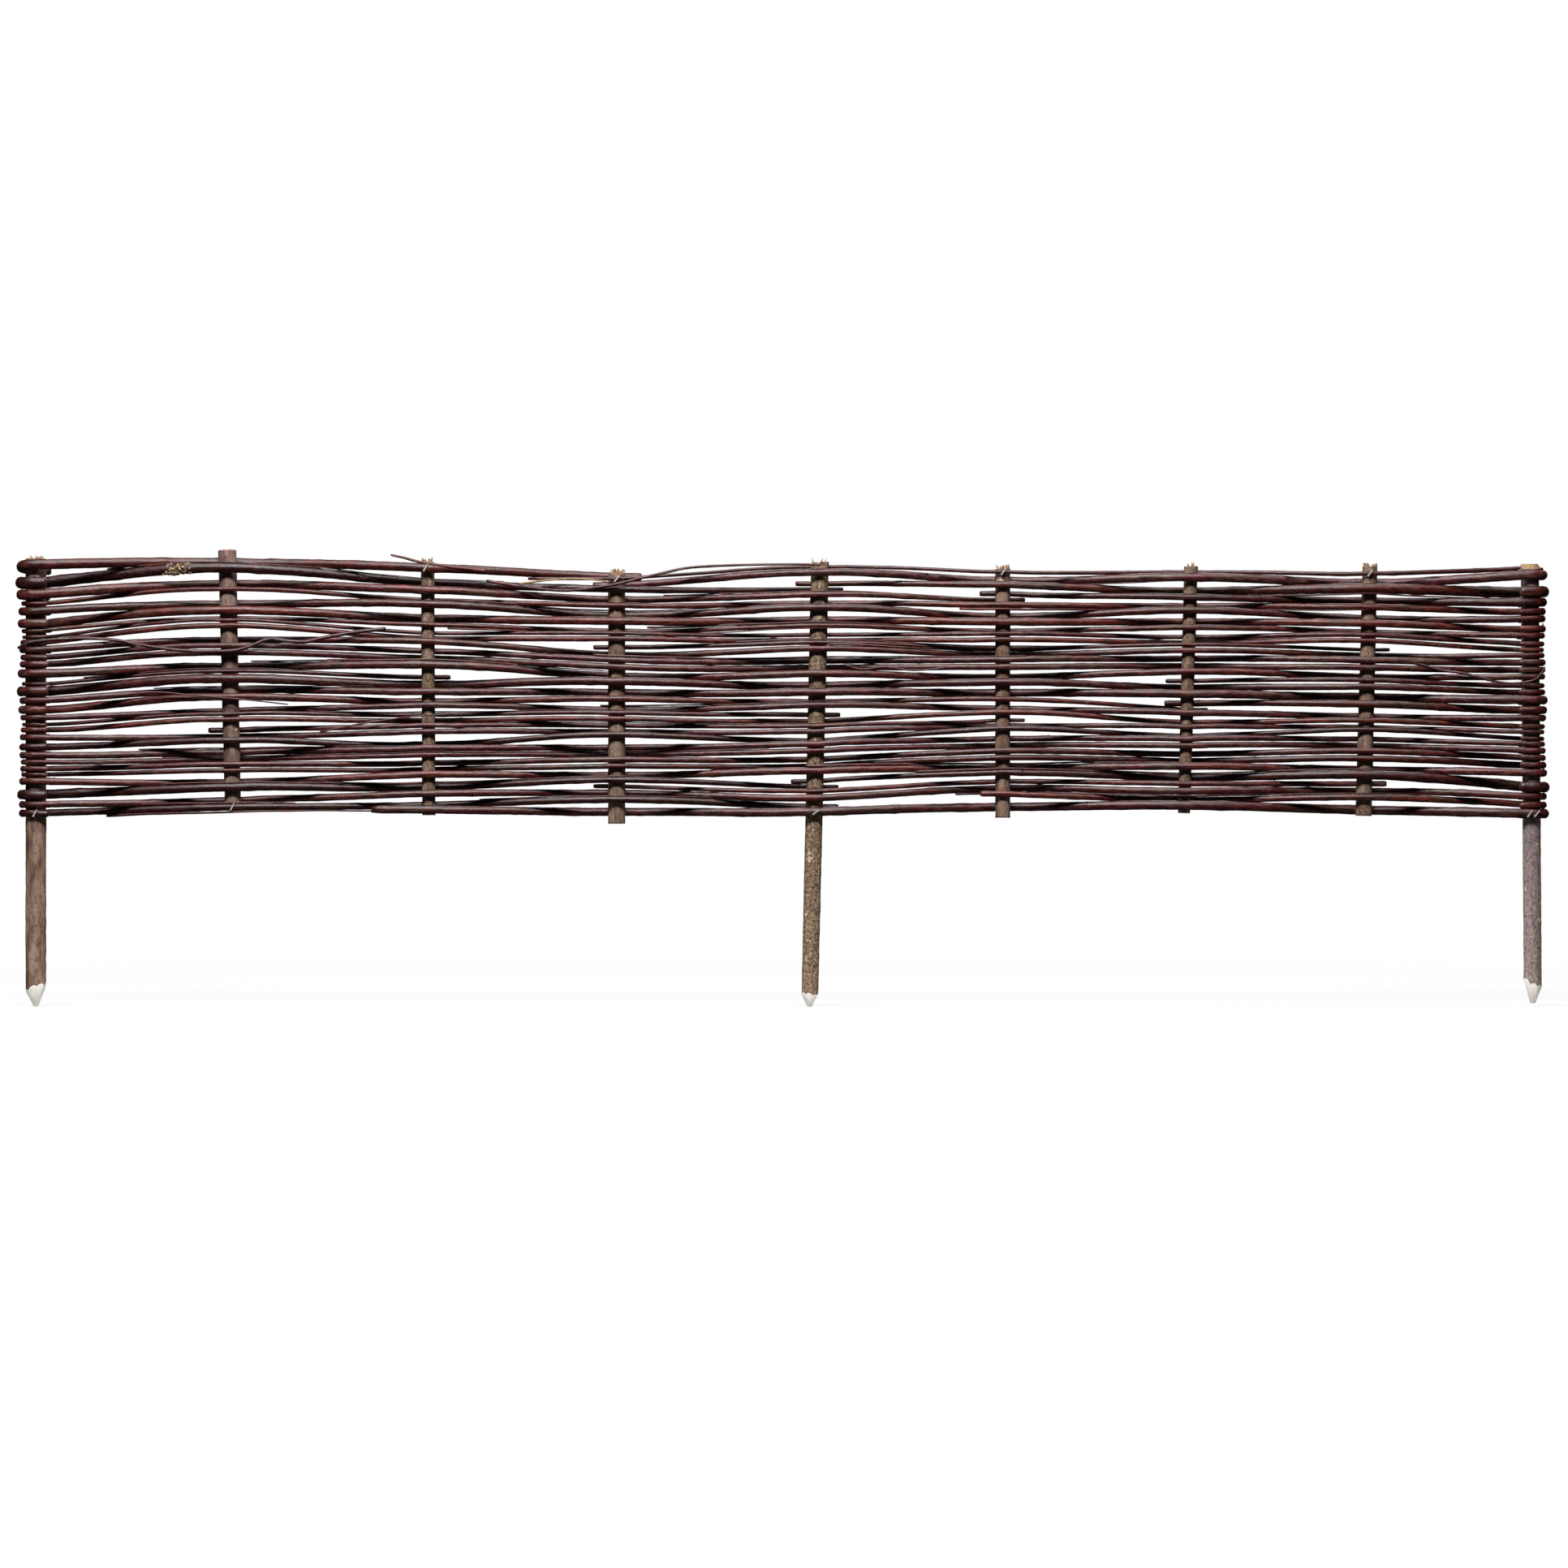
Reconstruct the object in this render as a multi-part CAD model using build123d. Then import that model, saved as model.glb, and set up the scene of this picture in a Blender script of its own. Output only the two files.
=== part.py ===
from build123d import *
import os
from math import cos, radians, sin, tan

os.makedirs("parts", exist_ok=True)

# Woven willow edging, 1200 mm long: nine uprights, woven rods in 26 rows, wire staples.
# X runs along the fence, front faces -Y, Z is up, zero is the centre stake at the ground line.

# Fit of the weave on the uprights
seat_gap = 0.3
pair_gap = 0.6
tuck = 0.3
rod_flatness = 0.85
crest_half_length = 20
stub_length = 11
hook_tail = 3.5
cut_slant = 0.55
thick_from = 5.6
pole_sides = 16

# Stakes driven into the ground
leg_length = {1: 129.0, 5: 141.0, 9: 126.0}
point_length = {1: 16.2, 5: 8.5, 9: 16.8}
point_half_width = {1: 2.0, 5: 3.6, 9: 3.0}
leg_radius = {1: 8.1, 5: 6.6, 9: 7.1}
hewn_share = 0.97

# Wire staples
wire_thickness = 1.1
staple_crown = 6.4
staple_leg = 12.0

# Uprights, left to right: name, ground x, lean, low radius, top radius, foot, top,
# lower edge of the weave there, upper edge of the weave there
uprights = {
    1: ("left_stake", -611.2, 0.0, 8.3, 8.15, -4.0, 203.2, -0.3, 201.6),
    2: ("upright_2", -456.3, -0.022, 6.4, 7.1, 5.4, 209.7, 4.8, 204.4),
    3: ("upright_3", -302.5, -0.005, 5.2, 5.3, 1.0, 201.0, 2.7, 198.6),
    4: ("upright_4", -155.0, 0.0, 6.8, 6.7, -5.7, 192.4, 0.3, 195.6),
    5: ("centre_stake", 0.0, 0.0235, 6.8, 7.05, 0.0, 200.5, 0.0, 197.6),
    6: ("upright_6", 148.2, 0.0, 5.9, 5.9, -1.0, 195.5, 4.1, 193.5),
    7: ("upright_7", 290.5, 0.0284, 4.8, 5.5, 2.7, 197.3, 5.6, 193.8),
    8: ("upright_8", 431.6, 0.0259, 6.4, 5.9, 0.6, 197.2, 1.3, 192.5),
    9: ("right_stake", 563.6, -0.007, 7.3, 7.2, -4.0, 198.4, -1.6, 197.4),
}
first_upright = min(uprights)
last_upright = max(uprights)

# Woven rods from the bottom up: row, first upright, last upright, diameter at each end
rods = [
    (1, 3, 9, 6.4, 7.6),
    (2, 1, 5, 5.7, 5.4),
    (2, 6, 9, 4.6, 5.5),
    (3, 1, 9, 5.5, 5.7),
    (3, 4, 8, 3.4, 4.6),
    (4, 1, 5, 7.6, 3.8),
    (4, 5, 9, 3.8, 8.2),
    (5, 1, 9, 5.5, 6.0),
    (6, 1, 9, 3.6, 5.4),
    (6, 1, 9, 4.5, 5.0),
    (7, 1, 9, 4.2, 4.9),
    (7, 1, 9, 5.5, 4.2),
    (8, 1, 9, 5.5, 3.6),
    (9, 1, 9, 4.9, 3.6),
    (9, 2, 6, 4.4, 3.2),
    (10, 1, 9, 4.2, 4.2),
    (10, 1, 5, 3.0, 4.0),
    (11, 1, 9, 4.5, 5.5),
    (12, 1, 7, 6.4, 3.4),
    (12, 7, 9, 4.9, 6.4),
    (13, 1, 9, 5.4, 7.0),
    (14, 1, 9, 7.6, 4.8),
    (14, 1, 3, 3.0, 3.8),
    (14, 7, 9, 3.6, 4.2),
    (15, 1, 9, 7.0, 4.8),
    (16, 1, 9, 5.2, 5.0),
    (16, 1, 9, 4.5, 5.4),
    (17, 1, 9, 5.5, 4.2),
    (17, 4, 8, 3.8, 3.0),
    (18, 1, 9, 4.5, 3.9),
    (18, 1, 9, 2.8, 4.2),
    (19, 1, 9, 3.3, 4.8),
    (20, 1, 9, 7.0, 5.5),
    (21, 1, 9, 6.4, 5.5),
    (22, 1, 9, 3.6, 5.5),
    (23, 1, 6, 8.2, 4.0),
    (23, 6, 9, 4.4, 7.0),
    (24, 1, 5, 9.2, 4.2),
    (24, 5, 9, 4.2, 9.0),
    (25, 4, 9, 5.5, 7.6),
    (25, 1, 4, 8.2, 6.6),
    (26, 4, 9, 2.6, 3.8),
]

# Rods that start well before their first upright, and the twig that starts below its row
long_start = {0: 38, 41: 62}
low_start = {41: 7.8}

# Gaps opened wider than the rest: (row below the gap, upright) and how many times as wide
wide_gaps = {(1, 6): 2.5, (7, 4): 2.5, (16, 5): 2.2, (20, 5): 3.0, (14, 9): 2.0, (18, 9): 2.5}

# Staples: upright, number of the rod they hold, turn in degrees, shift along the fence
staples = [
    (1, 1, 60, 0.8),
    (2, 1, 62, 0.5),
    (3, 40, 58, -1.0),
    (4, 41, 48, 0.4),
    (5, 0, 36, 1.3),
    (6, 41, 53, 0.3),
    (8, 41, 53, -0.6),
    (9, 0, 56, -3.0),
    (9, 0, 50, 2.6),
]


def axis_x(upright, z):
    """Where an upright's axis stands along the fence at a height."""
    return uprights[upright][1] + uprights[upright][2] * z


def upright_radius(upright, z):
    """Radius of an upright at a height in the weave."""
    name, x, lean, low, top_radius, foot, top, lower, upper = uprights[upright]
    share = max(0.0, min(1.0, (z - foot) / (top - foot)))
    return low + (top_radius - low) * share


def radius(rod, upright):
    """Radius of a rod where it crosses an upright."""
    row, first, last, d_first, d_last = rods[rod]
    share = (upright - first) / (last - first)
    return 0.5 * (d_first + (d_last - d_first) * share)


def present(rod, upright):
    return rods[rod][1] <= upright <= rods[rod][2]


def side(rod, upright):
    """-1 where the rod passes in front of the upright, +1 behind it."""
    return -1 if (rods[rod][0] + upright) % 2 == 0 else 1


def stack(upright):
    """Heights of all the rods at one upright, packed from the lower edge of the weave."""
    lower, upper = uprights[upright][7:9]
    here = [rod for rod in range(len(rods)) if present(rod, upright)]
    ends = (first_upright, last_upright)
    weights = []
    fixed = []
    for below, above in zip(here, here[1:]):
        row = rods[below][0]
        in_front = side(below, upright) < 0
        hidden = tuck * (1 + 0.8 * sin(1.9 * row)) * (radius(below, upright) + radius(above, upright))
        wave = (1 + 0.6 * sin(2.1 * row + 1.3 * upright)) * wide_gaps.get((row, upright), 1)
        if rods[above][0] == row:
            weights.append(0)
            fixed.append(pair_gap)
        elif upright in ends:
            # All rods turn round the same side of an end stake, so none is tucked
            weights.append(wave * (1.5 if in_front else 0.5))
            fixed.append(pair_gap / 2 if in_front else pair_gap / 2 + hidden)
        elif in_front:
            # The next rod passes behind the upright and hides partly behind this one
            weights.append(0)
            fixed.append(-hidden)
        else:
            weights.append(wave)
            fixed.append(pair_gap + hidden)
    solid = sum(2 * radius(rod, upright) for rod in here)
    share = (upper - lower - solid - sum(fixed)) / sum(weights)
    level = lower
    below_top = lower
    heights = []
    for rod in range(len(rods)):
        room = radius(rod, upright) + pair_gap
        if rod not in here:
            # A rod that ends one upright before this aims beside the rod that goes on
            beneath = rod + 1 in here and rods[rod + 1][0] == rods[rod][0]
            heights.append(level - room if beneath else below_top + room)
            continue
        heights.append(level + radius(rod, upright))
        level += 2 * radius(rod, upright)
        below_top = level
        place = here.index(rod)
        if place < len(weights):
            level += share * weights[place] + fixed[place]
    return heights


stacks = {upright: stack(upright) for upright in uprights}


def crossing_height(rod, upright):
    height = stacks[upright][rod]
    if upright == rods[rod][1]:
        height -= low_start.get(rod, 0)
    return height


def is_thick(rod):
    """Rows with a stout rod get eight sides and rounder bends."""
    row = rods[rod][0]
    return max(max(other[3:5]) for other in rods if other[0] == row) >= thick_from


def half_depth(r):
    """Half of the rod's section from front to back, pressed a little flat by the weave."""
    return r * rod_flatness


def ring(rod, x, y, z, across, r):
    """One section of a rod; across is half of its depth as an (x, y) vector."""
    if is_thick(rod):
        t = tan(radians(22.5))
        outline = [(1, t), (t, 1), (-t, 1), (-1, t), (-1, -t), (-t, -1), (t, -1), (1, -t)]
    else:
        outline = [(1, 0.5), (0, 1), (-1, 0.5), (-1, -0.5), (0, -1), (1, -0.5)]
    points = [(x + u * across[0], y + u * across[1], z + v * r) for u, v in outline]
    return Wire.make_polygon(points, close=True)


def hook(rod, stake, r):
    """Sections round an end stake, from the run side to the cut tail."""
    z = crossing_height(rod, stake)
    x0 = axis_x(stake, z)
    s = side(rod, stake)
    outward = -1 if stake == first_upright else 1
    depth = half_depth(r)
    reach = upright_radius(stake, z) + seat_gap + depth
    corners = 4 if is_thick(rod) else 3
    step = 180 / corners
    stretch = 1 / cos(radians(step / 2))
    turn = -outward * s
    sections = []
    lead = 9 if is_thick(rod) else 0
    sections.append(ring(rod, x0 - outward * lead, s * reach, z, (0, depth), r))
    for corner in range(corners):
        angle = radians(s * 90 + turn * step * (corner + 0.5))
        ux = cos(angle) * stretch
        uy = sin(angle) * stretch
        across = (s * depth * ux, s * depth * uy)
        sections.append(ring(rod, x0 + reach * ux, reach * uy, z, across, r))
    tail_x = x0 - outward * (upright_radius(stake, z) + hook_tail)
    across = (cut_slant * depth * outward * s, -depth)
    sections.append(ring(rod, tail_x, -s * reach, z, across, r))
    return sections


def run_height(rod, upright, offset):
    """Height of a rod a little to one side of an upright, on its way to the next one."""
    z = crossing_height(rod, upright)
    beside = upright + (1 if offset > 0 else -1)
    if not offset or beside not in uprights:
        return z
    near = stacks[beside][rod]
    if beside == rods[rod][1] or not present(rod, beside):
        near -= low_start.get(rod, 0)
    span = abs(axis_x(beside, z) - axis_x(upright, z))
    return z + (near - z) * abs(offset) / span


def seat(rod, upright, offset, slant=0):
    """A section at one upright, moved along the fence by the offset."""
    r = radius(rod, upright)
    z = crossing_height(rod, upright)
    depth = half_depth(r)
    y = side(rod, upright) * (upright_radius(upright, z) + seat_gap + depth)
    x = axis_x(upright, z) + offset
    return ring(rod, x, y, run_height(rod, upright, offset), (slant * depth, depth), r)


def make_rod(rod):
    row, first, last, d_first, d_last = rods[rod]
    crest = [-crest_half_length, crest_half_length] if is_thick(rod) else [0]
    sections = []
    if first == first_upright:
        sections += list(reversed(hook(rod, first, radius(rod, first))))
    else:
        before = upright_radius(first, 100) + long_start.get(rod, stub_length)
        sections.append(seat(rod, first, -before, cut_slant))
        sections.append(seat(rod, first, crest[-1]))
    for upright in range(first + 1, last):
        for offset in crest:
            sections.append(seat(rod, upright, offset))
    if last == last_upright:
        sections += hook(rod, last, radius(rod, last))
    else:
        sections.append(seat(rod, last, crest[0]))
        sections.append(seat(rod, last, upright_radius(last, 100) + stub_length, cut_slant))
    solid = Solid.make_loft(sections, ruled=True)
    # A loft that came out inside out is made again from its other end
    if solid.volume < 0:
        solid = Solid.make_loft(sections[::-1], ruled=True)
    return solid


def pole_section(plane, r):
    """A faceted section of an upright, true to its radius at the corners."""
    return (plane * RegularPolygon(r, pole_sides)).wire()


def make_upright(upright):
    name, x, lean, low, top_radius, foot, top, lower, upper = uprights[upright]
    direction = Vector(lean, 0, 1).normalized()
    low_plane = Plane(origin=(axis_x(upright, foot), 0, foot), z_dir=direction)
    top_plane = Plane(origin=(axis_x(upright, top), 0, top), z_dir=direction)
    ends = [pole_section(low_plane, low), pole_section(top_plane, top_radius)]
    body = Solid.make_loft(ends, ruled=True)
    if upright not in leg_length:
        return body
    # Leg and hewn point, along the same axis
    r = leg_radius[upright]
    leg = leg_length[upright]
    point = point_length[upright]
    tip = point_half_width[upright]
    down = Plane(origin=low_plane.origin, z_dir=-direction)
    leg_end = Plane(origin=down.from_local_coords((0, 0, leg)), z_dir=-direction)
    tip_end = Plane(origin=down.from_local_coords((0, 0, leg + point)), z_dir=-direction)
    trimmed = r * hewn_share
    shaft_ends = [pole_section(leg_end, trimmed), pole_section(tip_end, trimmed)]
    shaft = Solid.make_loft(shaft_ends, ruled=True)
    side_length = 2 * trimmed
    squares = [leg_end * Rectangle(side_length, side_length), tip_end * Rectangle(2 * tip, 1.4 * tip)]
    wedge = Solid.make_loft([square.wire() for square in squares], ruled=True)
    hewn = shaft.intersect(wedge).solids()[0]
    return body.fuse(Solid.make_cylinder(r, leg, down), hewn).solids()[0]


def make_staple(upright, rod, turn, shift):
    """A narrow wire staple with its crown flat on the front of the rod."""
    z = crossing_height(rod, upright)
    r = radius(rod, upright)
    depth = half_depth(r)
    front = upright_radius(upright, z) + seat_gap + 2 * depth
    wire = wire_thickness
    crown = Box(staple_crown, wire, wire).moved(Location((0, -wire / 2, 0)))
    span = staple_crown / 2 - wire / 2
    shape = crown
    for leg_side in (-1, 1):
        leg = Box(wire, staple_leg, wire)
        shape += leg.moved(Location((leg_side * span, staple_leg / 2, 0)))
    shape = Rot(0, -turn, 0) * shape
    return (Pos(axis_x(upright, z) + shift, -front, z) * shape).solid()


def drilled(shape, wires):
    """The shape with the staples' own seats cut out of it."""
    box = shape.bounding_box()
    for wire in wires:
        middle = wire.bounding_box()
        if middle.max.X < box.min.X or middle.min.X > box.max.X:
            continue
        if middle.max.Z < box.min.Z or middle.min.Z > box.max.Z:
            continue
        shape = shape.cut(wire)
    return shape


wires = [make_staple(*staple) for staple in staples]

for upright in uprights:
    solid = drilled(make_upright(upright), wires)
    export_step(solid, "parts/" + uprights[upright][0] + ".step")

letters = "abc"
for rod in range(len(rods)):
    row = rods[rod][0]
    same_row = [other for other in range(len(rods)) if rods[other][0] == row]
    name = "rod_row_%02d" % row
    if len(same_row) > 1:
        name += "_" + letters[same_row.index(rod)]
    held = [wire for wire, staple in zip(wires, staples) if staple[1] == rod]
    export_step(drilled(make_rod(rod), held), "parts/" + name + ".step")

export_step(Compound(children=wires), "parts/staples.step")
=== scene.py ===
import math
import random
from collections import namedtuple

import bmesh
import bpy
from mathutils import Matrix, Vector, noise


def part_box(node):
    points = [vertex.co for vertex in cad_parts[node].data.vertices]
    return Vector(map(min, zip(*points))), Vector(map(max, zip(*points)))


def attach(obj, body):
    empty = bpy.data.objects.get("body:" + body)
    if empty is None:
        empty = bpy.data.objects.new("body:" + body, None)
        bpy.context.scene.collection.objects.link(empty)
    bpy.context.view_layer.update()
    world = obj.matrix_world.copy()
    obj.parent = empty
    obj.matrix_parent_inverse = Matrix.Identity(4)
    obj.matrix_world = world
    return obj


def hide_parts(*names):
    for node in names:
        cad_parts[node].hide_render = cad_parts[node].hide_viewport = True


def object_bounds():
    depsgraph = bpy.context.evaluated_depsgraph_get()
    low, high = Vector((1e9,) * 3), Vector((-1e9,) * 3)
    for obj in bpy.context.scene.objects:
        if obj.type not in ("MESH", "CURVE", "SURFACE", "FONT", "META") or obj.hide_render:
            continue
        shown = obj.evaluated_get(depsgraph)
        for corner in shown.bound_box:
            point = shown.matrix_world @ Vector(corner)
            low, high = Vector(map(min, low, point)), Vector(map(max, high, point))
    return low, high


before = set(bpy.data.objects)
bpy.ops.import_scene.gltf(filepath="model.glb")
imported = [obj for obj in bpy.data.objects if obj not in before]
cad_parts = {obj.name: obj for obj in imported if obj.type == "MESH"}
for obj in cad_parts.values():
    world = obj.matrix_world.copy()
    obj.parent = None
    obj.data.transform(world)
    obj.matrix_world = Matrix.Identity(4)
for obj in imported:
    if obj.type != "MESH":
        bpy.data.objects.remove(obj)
cad_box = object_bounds()


# Uprights. Straight willow sticks with their bark on: three long stakes, hewn to a point
# with a billhook, and six short ones. The tops are sawn or broken off and left frayed.
mm = 0.001
pixel = 0.6375 * mm
stick_names = ["left_stake", "upright_2", "upright_3", "upright_4", "centre_stake",
               "upright_6", "upright_7", "upright_8", "right_stake"]
# How far below the weave each hewn point starts, in metres
stakes = {"left_stake": 0.133, "centre_stake": 0.1385, "right_stake": 0.130}
# Half the width of each point's end, and how far its rim rises to the right, in millimetres
half_tips = {"left_stake": 1.7, "centre_stake": 1.7, "right_stake": 1.9}
rim_lean = {"left_stake": 2.2, "centre_stake": -0.6, "right_stake": -3.0}
# How many torn fibres stand on a top
frayed = {"left_stake": 9, "upright_3": 12, "upright_4": 22, "centre_stake": 3,
          "upright_6": 20, "upright_7": 8, "upright_8": 18}
# Kind of bark: 0 is mottled olive tan, 0.5 is pinkish brown and 1 is mauve grey
bark_tint = {"left_stake": 0.5, "upright_2": 0.6, "upright_3": 0.15, "upright_4": 0.3,
             "centre_stake": 0.0, "upright_6": 0.4, "upright_7": 0.2, "upright_8": 0.3,
             "right_stake": 1.0}
# Healed scars that the picture shows, in pixels: middle, half width and half height
scars = {
    "centre_stake": [(998, 1115, 3, 5), (993, 1127, 3, 3), (1010, 762, 3, 3), (997, 1055, 4, 14)],
    "right_stake": [(1893, 1043, 3, 9), (1896, 1133, 4, 4), (1879, 1096, 2, 4), (1897, 1113, 2, 5)],
    "upright_2": [(290, 898, 5, 3)],
    "upright_3": [(522, 712, 5, 4), (522, 733, 4, 4), (522, 770, 4, 3)],
    "upright_6": [(1233, 715, 6, 4)],
}
stick_sides = 28
ring_step = 1.6 * mm
knots_per_stick = 5
knot_length = 5 * mm
knot_swell = 0.09
most_swell = 1.03
point_strokes = 7
foot_trim = 0.15 * mm
top_trim = 1.0 * mm
fibre_sides = 5
fibre_tip = 0.15 * mm
fibre_sink = 1.5 * mm


def linear(hex_code):
    """An sRGB hex colour as linear red, green, blue and alpha."""
    parts = [int(hex_code[i:i + 2], 16) / 255 for i in (1, 3, 5)]
    return [p / 12.92 if p <= 0.04045 else ((p + 0.055) / 1.055) ** 2.4 for p in parts] + [1]


def from_photo(x, y, depth_mm):
    """A place in the picture, in pixels, as a point of the fence."""
    return Vector(((x - 1003) * pixel, depth_mm * mm, (1006 - y) * pixel))


def add(tree, kind, settings=None, links=None):
    """Adds a node with its settings and its links."""
    made = tree.nodes.new("ShaderNode" + kind)
    for name, value in (settings or {}).items():
        if isinstance(name, int) or name in made.inputs:
            made.inputs[name].default_value = value
        else:
            setattr(made, name, value)
    for name, source in (links or {}).items():
        tree.links.new(source, made.inputs[name])
    return made


def new_material(name):
    """An empty material: its node tree, its surface shader and its object coordinates."""
    material = bpy.data.materials.new(name)
    material.use_nodes = True
    tree = material.node_tree
    tree.nodes.clear()
    shader = add(tree, "BsdfPrincipled")
    add(tree, "OutputMaterial", links={"Surface": shader.outputs[0]})
    return material, tree, shader, add(tree, "TexCoord").outputs["Object"]


def speckle(tree, coords, scale, detail, roughness=0.5):
    """A noise pattern."""
    settings = {"Scale": scale, "Detail": detail, "Roughness": roughness}
    return add(tree, "TexNoise", settings, {"Vector": coords}).outputs[0]


def ramp(tree, source, stops):
    """A colour ramp from a list of place and hex colour."""
    made = add(tree, "ValToRGB", links={0: source})
    elements = made.color_ramp.elements
    while len(elements) < len(stops):
        elements.new(0.5)
    for element, (place, colour) in zip(elements, stops):
        element.position = place
        element.color = linear(colour)
    return made.outputs[0]


def remap(tree, source, start, end, low=0.0, high=1.0):
    """A value that runs from low to high while its source runs from start to end."""
    settings = {"From Min": start, "From Max": end, "To Min": low, "To Max": high}
    return add(tree, "MapRange", settings, {"Value": source}).outputs[0]


def mix(tree, share, under, over, blend_type="MIX"):
    """One colour laid over another; share and colours are sockets or values."""
    made = add(tree, "Mix", {"data_type": "RGBA", "blend_type": blend_type})
    for socket, source in ((0, share), (6, under), (7, over)):
        if isinstance(source, bpy.types.NodeSocket):
            tree.links.new(source, made.inputs[socket])
        else:
            made.inputs[socket].default_value = source
    return made.outputs[2]


def roughen(tree, shader, height, strength, distance):
    """A bump from a height pattern."""
    bump = add(tree, "Bump", {"Strength": strength, "Distance": distance}, {"Height": height})
    tree.links.new(bump.outputs[0], shader.inputs["Normal"])


# Dry willow bark on the sticks: matt, from mottled olive tan over pinkish brown to a
# smooth mauve grey, with small dark pores, long cracks and pale healed scars.
stick_bark, tree, shader, coords = new_material("dry_stick_bark")
along = add(tree, "Mapping", {"Scale": (1.0, 1.0, 0.3)}, {"Vector": coords}).outputs[0]
blotches = speckle(tree, along, 120.0, 5.0, 0.62)
cracks = speckle(tree, along, 420.0, 6.0, 0.7)
grains = speckle(tree, coords, 480.0, 5.0, 0.75)
flecks = add(tree, "TexVoronoi", {"Scale": 260.0, "Randomness": 1.0}, {"Vector": coords})
tint = add(tree, "Attribute", {"attribute_name": "tint"}).outputs["Fac"]
scar = add(tree, "Attribute", {"attribute_name": "scar"}).outputs["Fac"]
olive = ramp(tree, grains, [(0.36, "#34281F"), (0.46, "#6E5846"), (0.56, "#9A8066"), (0.68, "#DCC6A2")])
mauve = ramp(tree, grains, [(0.34, "#5E504E"), (0.46, "#8A7975"), (0.56, "#9E8E89"), (0.7, "#B8AAA6")])
pink = ramp(tree, blotches, [(0.34, "#4A261D"), (0.43, "#735244"), (0.54, "#8E7262"), (0.7, "#A68C82")])
to_pink = remap(tree, tint, 0.0, 0.5)
to_mauve = remap(tree, tint, 0.5, 1.0)
colour = mix(tree, to_mauve, mix(tree, to_pink, olive, pink), mauve)
dark_cracks = ramp(tree, cracks, [(0.36, "#6A6058"), (0.5, "#FFFFFF")])
colour = mix(tree, 0.5, colour, dark_cracks, "MULTIPLY")
pore = ramp(tree, flecks.outputs["Distance"], [(0.12, "#FFFFFF"), (0.18, "#000000")])
colour = mix(tree, pore, colour, linear("#4A3128"))
torn = add(tree, "Math", {"operation": "MULTIPLY"}, {0: scar, 1: grains}).outputs[0]
scar_edge = ramp(tree, torn, [(0.4, "#000000"), (0.46, "#FFFFFF")])
colour = mix(tree, scar_edge, colour, linear("#D6BCA0"))
tree.links.new(colour, shader.inputs["Base Color"])
roughen(tree, shader, cracks, 0.6, 0.0006)
shader.inputs["Roughness"].default_value = 0.78

# Bare willow wood: tan and fibrous where a stick was cut or torn, and under torn bark.
cut_wood, tree, shader, coords = new_material("cut_willow_wood")
grain = speckle(tree, coords, 900.0, 4.0, 0.6)
colour = ramp(tree, grain, [(0.34, "#5C3C22"), (0.5, "#94714E"), (0.68, "#C4A680")])
tree.links.new(colour, shader.inputs["Base Color"])
roughen(tree, shader, grain, 0.5, 0.0003)
shader.inputs["Roughness"].default_value = 0.7

# Hewn willow: the white wood of the points, cut clean.
white_wood, tree, shader, coords = new_material("hewn_white_willow")
along = add(tree, "Mapping", {"Scale": (1.0, 1.0, 0.15)}, {"Vector": coords}).outputs[0]
grain = speckle(tree, along, 700.0, 3.0)
colour = ramp(tree, grain, [(0.3, "#EFE6D8"), (0.5, "#F9F4EA"), (0.7, "#FFFDF8")])
tree.links.new(colour, shader.inputs["Base Color"])
shader.inputs["Roughness"].default_value = 0.6
bark_index, cut_index, hewn_index = 0, 1, 2


def end_ring(points, z, reach):
    """Centre and radius of the points of a solid that lie near one height."""
    near = [p for p in points if abs(p.z - z) < reach]
    low_x = min(p.x for p in near)
    high_x = max(p.x for p in near)
    return Vector(((low_x + high_x) / 2, 0, z)), (high_x - low_x) / 2


def add_cone(target, middle, axis, radii, depth, sides, caps=True):
    """Adds a cone with its axis through a middle point."""
    turn = axis.to_track_quat("Z", "Y").to_matrix().to_4x4()
    return bmesh.ops.create_cone(target, cap_ends=caps, segments=sides, radius1=radii[0], radius2=radii[1],
                                 depth=depth, matrix=Matrix.Translation(middle) @ turn)


def cut_off(target, point, normal):
    """Cuts through a mesh, drops what lies outside and gives the edges of the cut."""
    everything = target.verts[:] + target.edges[:] + target.faces[:]
    cut = bmesh.ops.bisect_plane(target, geom=everything, plane_co=point, plane_no=normal, clear_outer=True)
    return [e for e in cut["geom_cut"] if isinstance(e, bmesh.types.BMEdge)]


def close_up(target, edges, material_index):
    """Fills an opening of a mesh with faces of one material."""
    for face in bmesh.ops.holes_fill(target, edges=edges, sides=0)["faces"]:
        face.material_index = material_index


def open_edges(target):
    """The edges round the openings of a mesh."""
    return [e for e in target.edges if e.is_boundary]


def to_object(name, mesh_maker, materials):
    """An object at the origin from a finished bmesh."""
    mesh = bpy.data.meshes.new(name)
    mesh_maker.to_mesh(mesh)
    mesh_maker.free()
    for material in materials:
        mesh.materials.append(material)
    made = bpy.data.objects.new(name, mesh)
    bpy.context.scene.collection.objects.link(made)
    return made


def paint(piece, label, amounts):
    """Keeps one number for each point of a piece, for its materials to read."""
    values = piece.data.attributes.new(label, "FLOAT", "POINT").data
    values.foreach_set("value", amounts)


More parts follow.
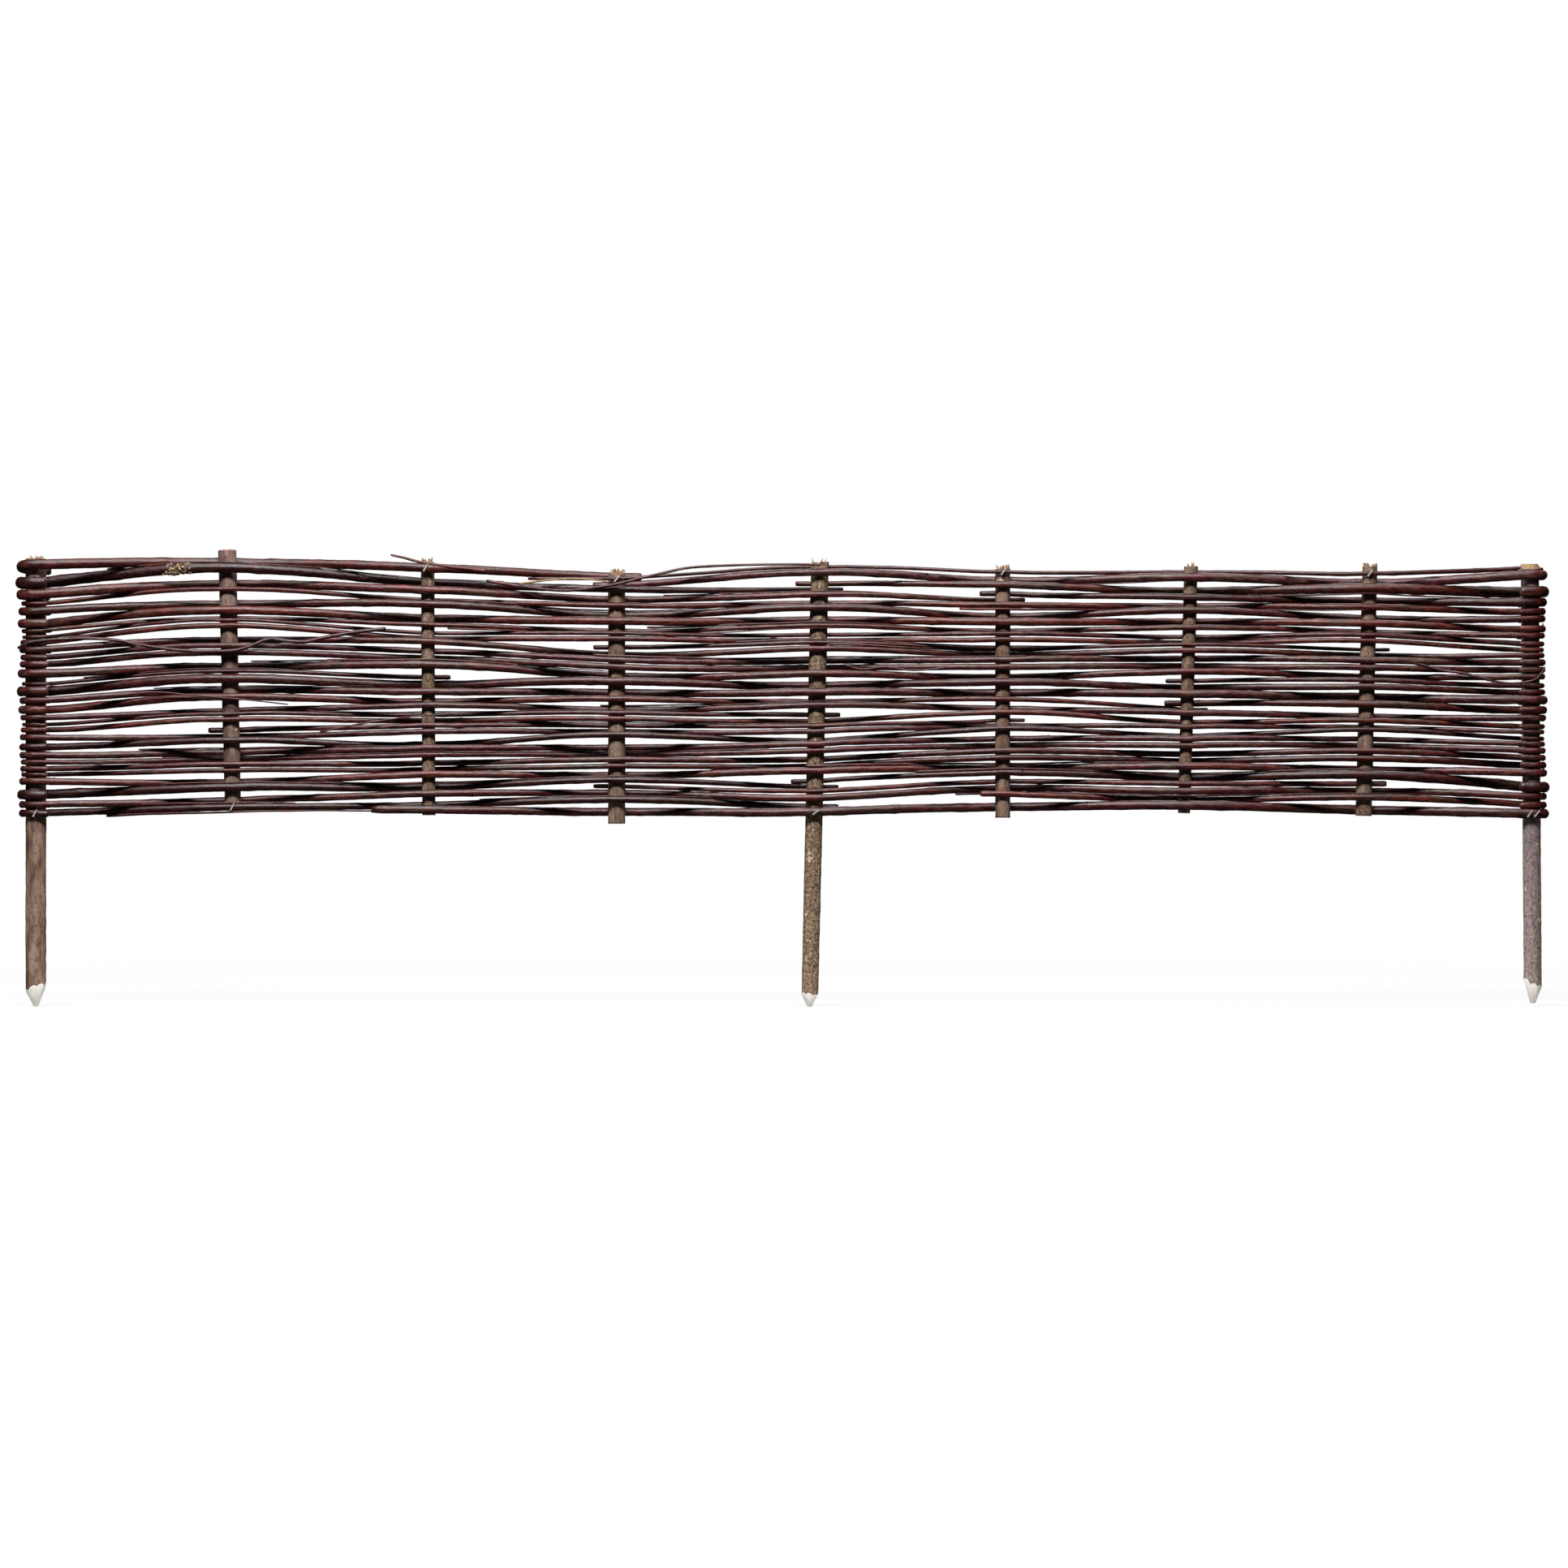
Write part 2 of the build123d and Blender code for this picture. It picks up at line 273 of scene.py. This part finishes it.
axes = {}
for count, name in enumerate(stick_names):
    chance = random.Random(100 + count)
    points = [v.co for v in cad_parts[name].data.vertices]
    low_z = min(p.z for p in points)
    high_z = max(p.z for p in points)
    head, head_radius = end_ring(points, high_z, 0.5 * mm)
    if name in stakes:
        # A stake is measured where its leg leaves the weave, and goes on down from there
        leg_top = 0.0 if name == "centre_stake" else -4 * mm
        foot, foot_radius = end_ring(points, leg_top, 1.0 * mm)
        slope = (head.x - foot.x) / (head.z - foot.z)
        foot = Vector((foot.x + slope * (low_z - foot.z), 0, low_z))
        foot_radius *= 0.97
    else:
        foot, foot_radius = end_ring(points, low_z, 0.5 * mm)
    axes[name] = (foot, head, foot_radius, head_radius)
    length = (head - foot).length
    stick = bmesh.new()
    add_cone(stick, (foot + head) / 2, head - foot, (foot_radius, head_radius), length, stick_sides, False)
    long_edges = [e for e in stick.edges if not e.is_boundary]
    bmesh.ops.subdivide_edges(stick, edges=long_edges, cuts=int(length / ring_step), use_grid_fill=True)
    # Bark swells and dips a little, and knots stand out
    knots = [(chance.uniform(0.08, 0.95), chance.uniform(0, 2 * math.pi)) for knot in range(knots_per_stick)]
    for v in stick.verts:
        share = (v.co.z - foot.z) / (head.z - foot.z)
        centre = foot.lerp(head, share)
        out = v.co - centre
        out.z = 0
        angle = math.atan2(out.y, out.x)
        grow = 1 + 0.035 * noise.noise(v.co * 130 + Vector((count * 7, 0, 0)))
        grow += 0.02 * noise.noise(v.co * 420)
        for knot_share, knot_angle in knots:
            off = (share - knot_share) * length / knot_length
            round_off = math.sin((angle - knot_angle) / 2) * 3
            grow += knot_swell * math.exp(-off * off - round_off * round_off)
        v.co = centre + out * min(grow, most_swell) + Vector((0, 0, v.co.z - centre.z))
    for face in stick.faces:
        face.smooth = True
    close_up(stick, open_edges(stick), bark_index)
    # Hewn point, one flat cut for each stroke round it
    if name in stakes:
        point_start = foot.lerp(head, (-stakes[name] - low_z) / (high_z - low_z))
        for stroke in range(point_strokes):
            angle = 2 * math.pi * (stroke + chance.uniform(-0.2, 0.2)) / point_strokes + 0.1
            side = Vector((math.cos(angle), math.sin(angle), 0))
            half_tip = half_tips[name] * (1 - 0.3 * abs(side.y)) * mm
            rise = (rim_lean[name] * side.x + chance.uniform(-0.8, 0.8)) * mm
            start = point_start + side * foot_radius + Vector((0, 0, rise))
            end = foot + side * half_tip
            run = (end - start).normalized()
            normal = run.cross(side.cross(Vector((0, 0, 1)))).normalized()
            if normal.dot(side) < 0:
                normal = -normal
            close_up(stick, cut_off(stick, start, normal), hewn_index)
        cut_off(stick, foot + Vector((0, 0, foot_trim)), (0, 0, -1))
        tip_edges = [e for e in open_edges(stick) if e.verts[0].co.z < foot.z + mm]
        close_up(stick, tip_edges, hewn_index)
    # Sawn or broken top, a little askew. The right stake's top slopes to the front
    tilt = Vector((chance.uniform(-0.08, 0.08), chance.uniform(-0.1, 0.1), 1)).normalized()
    if name == "right_stake":
        tilt = Vector((0.15, -0.7, 1)).normalized()
    cut_off(stick, head - Vector((0, 0, top_trim)), tilt)
    close_up(stick, open_edges(stick), cut_index)
    # Torn fibres on the top
    for fibre in range(frayed.get(name, 0)):
        angle = chance.uniform(0, 2 * math.pi)
        out = Vector((math.cos(angle), math.sin(angle), 0))
        spot = head + out * head_radius * chance.uniform(0.35, 0.95)
        lean = (out * chance.uniform(0.0, 0.9) + Vector((0, 0, 1))).normalized()
        tall = chance.uniform(2.0, 4.5) * mm
        thick = chance.uniform(0.5, 1.0) * mm
        middle = spot + lean * (tall / 2 - fibre_sink)
        made = add_cone(stick, middle, lean, (thick, fibre_tip), tall, fibre_sides)
        for v in made["verts"]:
            for face in v.link_faces:
                face.material_index = cut_index
    piece = to_object(name + "_bark", stick, [stick_bark, cut_wood, white_wood])
    paint(piece, "tint", [bark_tint[name]] * len(piece.data.vertices))
    healed = []
    for v in piece.data.vertices:
        strength = 0.0
        for x, y, half_width, half_height in scars.get(name, []):
            off = v.co - from_photo(x, y, 0)
            size = (off.x / (half_width * pixel)) ** 2 + (off.z / (half_height * pixel)) ** 2
            if v.co.y < 0:
                strength = max(strength, math.exp(-0.5 * size))
        healed.append(strength)
    paint(piece, "scar", healed)
    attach(piece, "root")
    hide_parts(name)


# Woven rods. One or two year old willow rods with their bark on, dried to a dark red
# brown. Each is bent in and out of the uprights and hooked round an end stake, where
# the bark creases and cracks.
rod_names = sorted(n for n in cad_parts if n.startswith("rod_row"))
seat_gap = 0.3 * mm
# A rod's depth as a share of its height, where it is pressed against a stake
pressed = 0.85
rod_step = 2.6 * mm
ring_reach = 26 * mm
leaf_nodes_per_metre = 16.0
hook_steps = 22
stub_steps = 8
tail_steps = 6
# The topmost tails slip down and bare the sawn top of the right stake
top_row_z = 195.0 * mm
top_tail_slip = -3.2 * mm
end_narrowing = 0.8
node_swell = 0.1
bud_sides = 7

# Willow bark on the rods: half-matt, dark red to purple brown, streaked along the rod,
# with pale pores. It gives the reddish body and the pinkish shine along the upper edge.
willow_bark, tree, shader, coords = new_material("dried_willow_bark")
along = add(tree, "Mapping", {"Scale": (0.12, 1.0, 1.0)}, {"Vector": coords}).outputs[0]
tone = add(tree, "Attribute", {"attribute_name": "tone"}).outputs["Fac"]
weathering = add(tree, "Attribute", {"attribute_name": "weathering"}).outputs["Fac"]
streaks = speckle(tree, along, 560.0, 6.0, 0.65)
patches = speckle(tree, coords, 30.0, 4.0, 0.6)
grit = speckle(tree, coords, 1100.0, 3.0, 0.6)
pores = add(tree, "TexVoronoi", {"Scale": 380.0, "Randomness": 1.0}, {"Vector": coords})
red = ramp(tree, streaks, [(0.3, "#1E0504"), (0.46, "#4C160F"), (0.6, "#702B20"), (0.76, "#A65A46")])
purple = ramp(tree, streaks, [(0.3, "#150406"), (0.46, "#381016"), (0.6, "#582328"), (0.76, "#8A4E50")])
brown = ramp(tree, streaks, [(0.3, "#1A0C08"), (0.46, "#3C241D"), (0.6, "#5E3C31"), (0.76, "#906C5C")])
brown_patches = remap(tree, patches, 0.48, 0.66)
colour = mix(tree, brown_patches, mix(tree, tone, purple, red), brown)
pore_edge = ramp(tree, pores.outputs["Distance"], [(0.07, "#FFFFFF"), (0.15, "#000000")])
colour = mix(tree, pore_edge, colour, linear("#9C7C70"))
colour = mix(tree, weathering, colour, linear("#9A8C88"), "MULTIPLY")
relief = add(tree, "Math", {"operation": "ADD"}, {0: streaks, 1: grit}).outputs[0]
tree.links.new(colour, shader.inputs["Base Color"])
tree.links.new(remap(tree, grit, 0.35, 0.7, 0.24, 0.5), shader.inputs["Roughness"])
roughen(tree, shader, relief, 0.55, 0.00035)
shader.inputs["Specular IOR Level"].default_value = 0.5

# Old cut ends of the rods: grey brown wood, a little paler than the bark.
old_cut, tree, shader, coords = new_material("weathered_rod_end")
rings = speckle(tree, coords, 800.0, 4.0)
colour = ramp(tree, rings, [(0.35, "#3B2A22"), (0.55, "#6B5040"), (0.75, "#8F6F56")])
tree.links.new(colour, shader.inputs["Base Color"])
shader.inputs["Roughness"].default_value = 0.75

Crossing = namedtuple("Crossing", "number x y z radius")


def stick_at(number, z):
    """Axis point and radius of an upright at a height."""
    foot, head, foot_radius, head_radius = axes[stick_names[number - 1]]
    share = max(0.0, min(1.0, (z - foot.z) / (head.z - foot.z)))
    return foot.lerp(head, share).x, foot_radius + (head_radius - foot_radius) * share


def crossings(name):
    """Where a rod crosses the uprights, and where it starts and ends along the fence."""
    row = int(name[8:10])
    points = [v.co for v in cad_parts[name].data.vertices]
    low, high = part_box(name)
    found = []
    for number in range(1, len(stick_names) + 1):
        x = stick_at(number, (low[2] + high[2]) / 2)[0]
        if not low[0] - mm < x < high[0] + mm:
            continue
        # The solid's points near the upright, sorted into the rings round the rod
        rings = {}
        for p in points:
            if abs(p.x - x) < ring_reach:
                label = 0 if number in (1, len(stick_names)) else round(p.x / (0.5 * mm))
                rings.setdefault(label, []).append(p.z)
        spans = [(min(ring), max(ring)) for ring in rings.values()]
        radius = max(top - bottom for bottom, top in spans) / 2
        middles = [(top + bottom) / 2 for bottom, top in spans if top - bottom > 1.7 * radius]
        z = sum(middles) / len(middles)
        x, stick_radius = stick_at(number, z)
        side = -1 if (row + number) % 2 == 0 else 1
        y = side * (stick_radius + seat_gap + pressed * radius)
        found.append(Crossing(number, x, y, z, radius))
    return found, low[0], high[0]


def sway(x, z, own):
    """How far a rod strays from its even course, smooth along the fence."""
    shared = noise.noise(Vector((x * 7.0, z * 9.0, 3.0)))
    alone = noise.noise(Vector((x * 13.0, own * 5.3, 9.0)))
    # Rods turn a little at each node where a leaf stood
    at = x * leaf_nodes_per_metre + own
    kink = noise.noise(Vector((round(at) * 1.7, own * 3.1, 5.0)))
    next_kink = noise.noise(Vector((round(at + 1) * 1.7, own * 3.1, 5.0)))
    share = at - round(at) + 0.5
    return 1.3 * mm * shared + 0.5 * mm * alone + 0.45 * mm * (kink + (next_kink - kink) * share)


def hook(stake, outward, chance):
    """The turn round an end stake, from the run side to the cut tail."""
    reach = abs(stake.y)
    side = 1 if stake.y > 0 else -1
    slip = top_tail_slip if stake.z > top_row_z else 0.0
    turn = []
    for step in range(1, hook_steps + 1):
        angle = math.pi * step / hook_steps
        x = stake.x + outward * reach * math.sin(angle)
        z = stake.z + slip * (1 - math.cos(angle)) / 2
        turn.append((Vector((x, side * reach * math.cos(angle), z)), stake.radius))
    tail = stick_at(stake.number, stake.z)[1] + chance.uniform(1.5, 3.6) * mm
    rise = chance.uniform(-0.6, 0.6) * mm
    for step in range(1, tail_steps + 1):
        x = stake.x - outward * tail * step / tail_steps
        z = stake.z + slip + rise * step / tail_steps
        narrow = 0.94 if step == tail_steps else 1.0
        turn.append((Vector((x, -side * reach, z)), stake.radius * narrow))
    return turn


def rod_course(name, chance):
    """Points along a rod from end to end with its radius there."""
    met, low_x, high_x = crossings(name)
    own = chance.uniform(0, 40)
    course = []
    first, last = met[0], met[-1]
    if first.number == 1:
        course += list(reversed(hook(first, -1, chance)))
    else:
        for step in range(stub_steps):
            x = low_x + (first.x - low_x) * step / stub_steps
            course.append((Vector((x, first.y, first.z)), first.radius))
    for index, (here, there) in enumerate(zip(met, met[1:])):
        before = met[index - 1] if index else here
        after = met[index + 2] if index + 2 < len(met) else there
        span = there.x - here.x
        slope_here = (there.z - before.z) / (there.x - before.x)
        slope_there = (after.z - here.z) / (after.x - here.x)
        steps = int(span / rod_step)
        for step in range(steps):
            t = step / steps
            x = here.x + span * t
            y = here.y + (there.y - here.y) * (1 - math.cos(math.pi * t)) / 2
            # The height leaves one crossing and reaches the next with the slope it has there
            from_here = 2 * t ** 3 - 3 * t ** 2 + 1
            from_there = -2 * t ** 3 + 3 * t ** 2
            leaving = t ** 3 - 2 * t ** 2 + t
            arriving = t ** 3 - t ** 2
            z = from_here * here.z + leaving * span * slope_here
            z += from_there * there.z + arriving * span * slope_there
            z += sway(x, z, own) * min(1.0, 2.2 * math.sin(math.pi * t))
            course.append((Vector((x, y, z)), here.radius + (there.radius - here.radius) * t))
    if last.number == len(stick_names):
        course.append((Vector((last.x, last.y, last.z)), last.radius))
        course += hook(last, 1, chance)
    else:
        for step in range(stub_steps + 1):
            x = last.x + (high_x - last.x) * step / stub_steps
            course.append((Vector((x, last.y, last.z)), last.radius))
    return course


def tube(name, course, swell, resolution):
    """An open round tube along a course, as a bmesh, one ring of points for each step."""
    line = bpy.data.curves.new(name, "CURVE")
    line.dimensions = "3D"
    line.bevel_depth = 1.0
    line.bevel_resolution = resolution
    spline = line.splines.new("POLY")
    spline.points.add(len(course) - 1)
    for index, (spot, radius) in enumerate(course):
        spline.points[index].co = (spot.x, spot.y, spot.z, 1)
        spline.points[index].radius = radius * swell[index]
    helper = bpy.data.objects.new(name + "_line", line)
    bpy.context.scene.collection.objects.link(helper)
    bpy.context.view_layer.update()
    mesh = bpy.data.meshes.new_from_object(helper.evaluated_get(bpy.context.evaluated_depsgraph_get()))
    bpy.data.objects.remove(helper)
    rod = bmesh.new()
    rod.from_mesh(mesh)
    bpy.data.meshes.remove(mesh)
    return rod


def round_rod(name, course, chance, resolution, spacing):
    """A rod as a closed mesh along a course, with nodes, creases and cut ends."""
    swell = [1.0] * len(course)
    swell[0] = swell[-1] = end_narrowing
    buds = []
    at = chance.randint(4, spacing)
    while at < len(course) - 4:
        buds.append(at)
        for step in range(-2, 3):
            swell[at + step] += node_swell * (1 - abs(step) / 3)
        at += chance.randint(spacing // 2, spacing * 2)
    rod = tube(name, course, swell, resolution)
    rod.verts.ensure_lookup_table()
    sides = len(rod.verts) // len(course)
    for index, (spot, radius) in enumerate(course):
        to_stake = min(abs(spot.x - axes["left_stake"][0].x), abs(spot.x - axes["right_stake"][0].x))
        creased = math.exp(-(to_stake / (13 * mm)) ** 2)
        press = pressed if to_stake < 20 * mm else pressed + 0.1
        for v in rod.verts[index * sides:(index + 1) * sides]:
            out = v.co - spot
            rough = 0.05 * noise.noise(v.co * 160) + 0.04 * noise.noise(v.co * 600)
            rough -= creased * 0.16 * abs(noise.noise(v.co * 330 + Vector((0, 0, 4))))
            out *= 1 + rough
            out.x *= press
            out.y *= press
            v.co = spot + out
    for face in rod.faces:
        face.smooth = True
    close_up(rod, open_edges(rod), cut_index)
    # Buds and the stubs of trimmed side shoots
    for at in buds:
        spot, radius = course[at]
        ahead = (course[at + 1][0] - course[at - 1][0]).normalized()
        angle = chance.uniform(0, 2 * math.pi)
        lean = (Vector((0, math.cos(angle), math.sin(angle))) + ahead * chance.uniform(0.6, 2.0)).normalized()
        tall = radius * chance.uniform(0.2, 0.6)
        thick = min(radius * 0.42, 1.0 * mm)
        middle = spot + lean * (radius + tall) / 2
        add_cone(rod, middle, lean, (thick, thick * 0.4), tall + radius, bud_sides)
    return rod


def tinted(piece, tone_value, weathering_value):
    """Gives a rod its own place between the two bark colours and its own darkness."""
    for label, value in (("tone", tone_value), ("weathering", weathering_value)):
        paint(piece, label, [value] * len(piece.data.vertices))


courses = {}
for name in rod_names:
    chance = random.Random(name)
    courses[name] = rod_course(name, chance)
    rod = round_rod(name, courses[name], chance, 4, 26)
    piece = to_object(name + "_willow", rod, [willow_bark, old_cut])
    tinted(piece, chance.random(), chance.uniform(0, 0.9))
    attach(piece, "root")
    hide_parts(name)


# Thin twigs. Side shoots and the thin ends of rods lie along the rows and stray across
# them. They are the same willow, one to three millimetres thick, held by the weave.
def smooth_course(marks, thick, thin):
    """A twig's course through a few marks, with its radius falling along it."""
    course = []
    for index in range(len(marks) - 1):
        before = marks[max(index - 1, 0)]
        here = marks[index]
        there = marks[index + 1]
        after = marks[min(index + 2, len(marks) - 1)]
        steps = max(3, int((there - here).length / rod_step))
        for step in range(steps):
            t = step / steps
            bend = 2 * before - 5 * here + 4 * there - after
            twist = 3 * here - before - 3 * there + after
            course.append(0.5 * (2 * here + (there - before) * t + bend * t ** 2 + twist * t ** 3))
    course.append(marks[-1])
    for spot in course:
        spot.y = max(spot.y, cad_box[0][1] + (thick + 0.4) * mm)
    last = len(course) - 1
    return [(spot, (thick + (thin - thick) * index / last) * mm) for index, spot in enumerate(course)]


# Stray twigs that the picture shows: marks in pixels with the depth in millimetres,
# then the radius at the first and at the last mark
stray_twigs = {
    "twig_over_upright_2": ([(24, 799, -12), (40, 792, -13), (62, 789, -12), (100, 787, -9), (135, 788, -8),
                             (165, 793, -10), (200, 799, -13), (245, 803, -16), (290, 802, -16),
                             (312, 796, -15), (332, 788, -12), (352, 790, -11), (378, 791, -10),
                             (400, 786, -9), (440, 779, -8), (476, 775, -6)], 1.2, 1.6),
    "twig_fork": ([(120, 788, -9), (150, 790, -12), (166, 794, -13), (178, 798, -14)], 0.7, 0.4),
    "twig_top_left": ([(482, 684, -4), (500, 688, -6), (518, 693, -9), (548, 698, -11), (600, 704, -9)],
                      0.9, 1.5),
    "twig_top_merge": ([(600, 716, -6), (650, 724, -9), (700, 728, -12), (752, 722, -15), (790, 713, -14),
                        (820, 706, -12), (850, 700, -11), (900, 697, -9), (950, 696, -10), (990, 696, -14),
                        (1012, 697, -13)], 1.3, 0.9),
    "twig_right_loop": ([(1830, 838, -6), (1862, 842, -10), (1888, 838, -12), (1897, 830, -12),
                         (1902, 822, -11)], 0.8, 0.6),
    "twig_low_left": ([(140, 858, -8), (190, 853, -11), (240, 857, -14), (300, 862, -14), (356, 868, -9)],
                      0.7, 0.5),
    "twig_mid_left": ([(395, 902, -8), (440, 893, -11), (478, 887, -10), (520, 882, -13), (560, 880, -9)],
                      0.8, 0.5),
    "twig_at_centre": ([(1040, 819, -10), (1062, 825, -8), (1090, 822, -6), (1125, 826, -5), (1165, 823, -8)],
                       0.9, 0.6),
    "twig_at_right": ([(1716, 812, -8), (1745, 818, -6), (1775, 826, -6), (1802, 830, -9), (1840, 840, -10)],
                      1.3, 1.0),
}
for name, (marks, thick, thin) in stray_twigs.items():
    chance = random.Random(name)
    course = smooth_course([from_photo(*mark) for mark in marks], thick, thin)
    piece = to_object(name, round_rod(name, course, chance, 2, 9), [willow_bark, old_cut])
    tinted(piece, chance.random(), chance.uniform(0, 0.6))
    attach(piece, "root")

# More thin shoots that lie against a rod for part of its way
shoot_chance = random.Random(41)
shoot_tries = 34
shoot_margin = 30
for count in range(shoot_tries):
    name = "shoot_%02d" % count
    chance = random.Random(name)
    host = courses[shoot_chance.choice(rod_names)]
    runs = int(shoot_chance.uniform(50, 150))
    if len(host) < runs + 2 * shoot_margin + 10:
        continue
    start = shoot_chance.randint(shoot_margin, len(host) - runs - shoot_margin)
    up = shoot_chance.choice((-1, 1, 1))
    thick = shoot_chance.uniform(0.6, 1.3)
    drift = shoot_chance.uniform(-1.6, 1.6) * mm
    course = []
    for step in range(runs):
        share = step / (runs - 1)
        spot, radius = host[start + step]
        own_radius = (thick * (1 - 0.55 * share)) * mm
        stray = drift * max(0.0, share - 0.7) / 0.3
        stray += 0.6 * mm * noise.noise(Vector((spot.x * 22, count * 3.3, 1)))
        beside = Vector((0, -0.35 * radius, up * (radius + 0.8 * own_radius) + stray))
        course.append((spot + beside, own_radius))
    piece = to_object(name, round_rod(name, course, chance, 1, 12), [willow_bark, old_cut])
    tinted(piece, chance.random(), chance.uniform(0, 0.6))
    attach(piece, "root")

# A strip of bark that hangs off and shows its tan inner side, left of upright 4
peel_marks = [(640, 720, -10), (680, 715, -13), (715, 714, -14), (740, 716, -14), (750, 718, -13)]
peel = smooth_course([from_photo(*mark) for mark in peel_marks], 0.8, 0.6)
peel_rod = round_rod("peeled_strip", peel, random.Random(3), 2, 9)
piece = to_object("peeled_strip", peel_rod, [cut_wood, cut_wood])
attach(piece, "root")

# Scaly bark gall on a rod near the top, left of upright 2
scaly_bark, tree, shader, coords = new_material("scaly_gall_bark")
scales = speckle(tree, coords, 500.0, 4.0)
colour = ramp(tree, scales, [(0.38, "#2E1E16"), (0.5, "#866A52"), (0.64, "#CBB08C")])
tree.links.new(colour, shader.inputs["Base Color"])
shader.inputs["Roughness"].default_value = 0.8
gall = bmesh.new()
chance = random.Random(7)
gall_x = from_photo(221, 706, 0).x
gall_scales = 90
gall_half_length = 12
scale_sides = 6
scale_depth = 1.8 * mm
for count in range(gall_scales):
    x = gall_x + chance.triangular(-gall_half_length, gall_half_length) * mm
    centre, radius = min(courses["rod_row_24_a"], key=lambda mark: abs(mark[0].x - x))
    angle = chance.uniform(-0.45, 0.6) * math.pi
    lean = Vector((chance.uniform(-0.5, 0.5), -math.cos(angle), math.sin(angle))).normalized()
    spot = Vector((x, centre.y, centre.z)) + Vector((0, lean.y * 0.9, lean.z * 1.05)) * radius
    spot.y = max(spot.y, cad_box[0][1] + 1.4 * mm)
    radii = (chance.uniform(1.2, 2.0) * mm, chance.uniform(0.5, 1.1) * mm)
    add_cone(gall, spot, lean, radii, scale_depth, scale_sides)
piece = to_object("bark_gall", gall, [scaly_bark])
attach(piece, "root")


# Staples. Narrow wire staples of zinc-coated steel, shot through the lowest and highest
# rods into the uprights. The wire is bright, with fine drawing marks along it.
zinc_wire, tree, shader, coords = new_material("zinc_coated_wire")
marks = speckle(tree, coords, 1500.0, 2.0)
colour = ramp(tree, marks, [(0.3, "#D6D4CE"), (0.7, "#F6F4EE")])
tree.links.new(colour, shader.inputs["Base Color"])
shader.inputs["Metallic"].default_value = 0.6
shader.inputs["Roughness"].default_value = 0.35
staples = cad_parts["staples"]
staples.data.materials.clear()
staples.data.materials.append(zinc_wire)


# Floor. White as in the picture: the fence's shadow falls on it near by, and far off it
# is as white to the camera as the world behind it. It throws little light back, apart
# from the strip under the fence, which lights the hewn points.
floor_size = 6.0
strip_edges = (0.05, 0.09)
shadow_fades = (0.7, 1.5)
floor = bmesh.new()
bmesh.ops.create_grid(floor, x_segments=1, y_segments=1, size=floor_size,
                      matrix=Matrix.Translation((0, 0, cad_box[0][2])))
white_paper, tree, shader, coords = new_material("white_paper_sweep")
tree.nodes.remove(shader)
camera_ray = add(tree, "LightPath").outputs["Is Camera Ray"]
diffuse_ray = add(tree, "LightPath").outputs["Is Diffuse Ray"]
across = add(tree, "SeparateXYZ", links={0: coords}).outputs[1]
off_line = add(tree, "Math", {"operation": "ABSOLUTE"}, {0: across}).outputs[0]
strip = remap(tree, off_line, *strip_edges, 0.6, 0.0)
lit = add(tree, "Math", {"operation": "MULTIPLY"}, {0: diffuse_ray, 1: strip}).outputs[0]
bright = add(tree, "Math", {"operation": "MAXIMUM"}, {0: camera_ray, 1: lit}).outputs[0]
paper_colour = mix(tree, bright, linear("#282828"), linear("#F0F0F0"))
paper = add(tree, "BsdfDiffuse", links={"Color": paper_colour})
glow = add(tree, "Emission", {"Color": (1, 1, 1, 1), "Strength": 1.0})
away = add(tree, "VectorMath", {"operation": "LENGTH"}, {0: coords}).outputs["Value"]
glow_share = remap(tree, away, *shadow_fades, 0.86, 1.0)
seen = add(tree, "Math", {"operation": "MULTIPLY"}, {0: camera_ray, 1: glow_share}).outputs[0]
mixed = add(tree, "MixShader", links={0: seen, 1: paper.outputs[0], 2: glow.outputs[0]})
output = next(node for node in tree.nodes if node.type == "OUTPUT_MATERIAL")
tree.links.new(mixed.outputs[0], output.inputs["Surface"])
sweep = to_object("white_floor", floor, [white_paper])

# Plain studio light: a large soft lamp high in front, a long one overhead that shines
# along the upper edges of the rods, and a weak one behind
world = bpy.data.worlds.new("studio")
bpy.context.scene.world = world
world.use_nodes = True
tree = world.node_tree
tree.nodes.clear()
strength = remap(tree, add(tree, "LightPath").outputs["Is Camera Ray"], 0.0, 1.0, 0.01, 1.0)
sky = add(tree, "Background", {"Color": (1, 1, 1, 1)}, {"Strength": strength})
add(tree, "OutputWorld", links={"Surface": sky.outputs[0]})
lamp_height = 0.4
for label, spot, aim, power, width in [
    ("key_lamp", (-0.4, -1.6, 1.6), (0, 0, 0.05), 68, 1.5),
    ("top_lamp", (0.0, -0.3, 1.7), (0, 0, 0.1), 30, 2.2),
    ("back_lamp", (0.4, 1.9, 1.1), (0, 0, 0.05), 10, 1.5),
]:
    light = bpy.data.lights.new(label, "AREA")
    light.shape = "RECTANGLE"
    light.energy = power
    light.size = width
    light.size_y = lamp_height
    lamp = bpy.data.objects.new(label, light)
    bpy.context.scene.collection.objects.link(lamp)
    lamp.location = spot
    lamp.rotation_euler = (Vector(aim) - Vector(spot)).to_track_quat("-Z", "Y").to_euler()

# Camera straight on from the front, far off, with a long lens
frame_pixels = 1932
middle = from_photo(frame_pixels / 2, frame_pixels / 2, 0)
distance = 5.0
sensor = 36.0
camera_data = bpy.data.cameras.new("camera")
camera_data.sensor_width = sensor
camera_data.lens = sensor * distance / (frame_pixels * pixel)
camera = bpy.data.objects.new("camera", camera_data)
bpy.context.scene.collection.objects.link(camera)
camera.location = (middle.x, -distance, middle.z)
camera.rotation_euler = (math.pi / 2, 0, 0)
bpy.context.scene.camera = camera
bpy.context.scene.view_settings.view_transform = "Standard"
